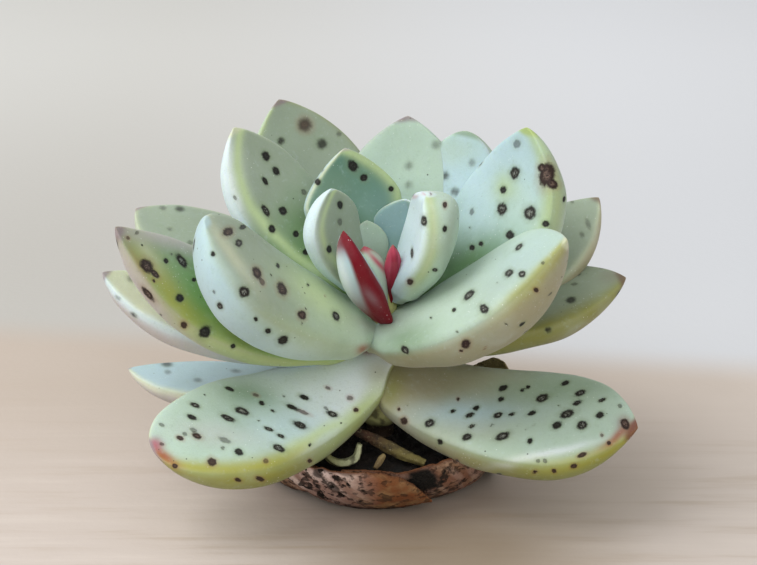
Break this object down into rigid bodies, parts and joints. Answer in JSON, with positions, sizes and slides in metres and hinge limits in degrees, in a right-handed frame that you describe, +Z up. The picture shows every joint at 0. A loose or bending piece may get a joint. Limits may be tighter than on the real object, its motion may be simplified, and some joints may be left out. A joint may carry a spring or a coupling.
{
  "type": "potted adromischus",
  "caption": "Low rosette succulent with thick spotted blue-green leaves and a red heart, standing in a small cup of curved bark.",
  "frame": {"origin": "middle of the flat underside of the cup, on the surface it stands on", "axes": "+Z up, -Y towards the viewer of the picture, +X to that viewer's right"},
  "size_m": [0.0945, 0.0715, 0.0657],
  "materials": {
    "leaf": "waxy pale blue-green skin with brown spots and yellow-green edges",
    "young_leaf": "waxy pale skin with a deep red keel",
    "stem": "dull green-brown skin",
    "bark": "rough pitted bark",
    "dry_stalk": "dry fibrous stalk",
    "soil": "dark loose crumbs"
  },
  "bodies": {
    "root": {"stem": "stem", "leaf_low_front_left": "leaf", "leaf_low_front_right": "leaf", "leaf_middle_front_right": "leaf", "leaf_middle_front_left": "leaf", "leaf_heart_red": "young_leaf", "leaf_inner_right": "leaf", "leaf_inner_left": "leaf", "leaf_heart_red_right": "young_leaf", "leaf_heart_red_left": "young_leaf", "leaf_heart_left": "leaf", "leaf_heart_back": "leaf", "leaf_inner_back_right": "leaf", "leaf_inner_back": "leaf", "leaf_high_right": "leaf", "leaf_high_left": "leaf", "leaf_high_back_left": "leaf", "leaf_high_back_right": "leaf", "leaf_high_back": "leaf", "leaf_middle_left": "leaf", "leaf_middle_right": "leaf", "leaf_middle_back_left": "leaf", "leaf_middle_back_right": "leaf", "leaf_middle_back": "leaf", "leaf_side_left": "leaf", "leaf_low_left": "leaf", "leaf_low_back": "leaf", "leaf_low_back_right": "leaf", "leaf_low_back_left": "leaf", "cup_floor": "bark", "bark_front": "bark", "bark_right": "bark", "bark_left": "bark", "bark_back_left": "bark", "bark_back": "bark", "bark_back_right": "bark", "dry_stalk_long": "dry_stalk", "dry_stalk_short": "dry_stalk", "dry_husk_curl": "dry_stalk", "soil": "soil"}
  },
  "joints": []
}
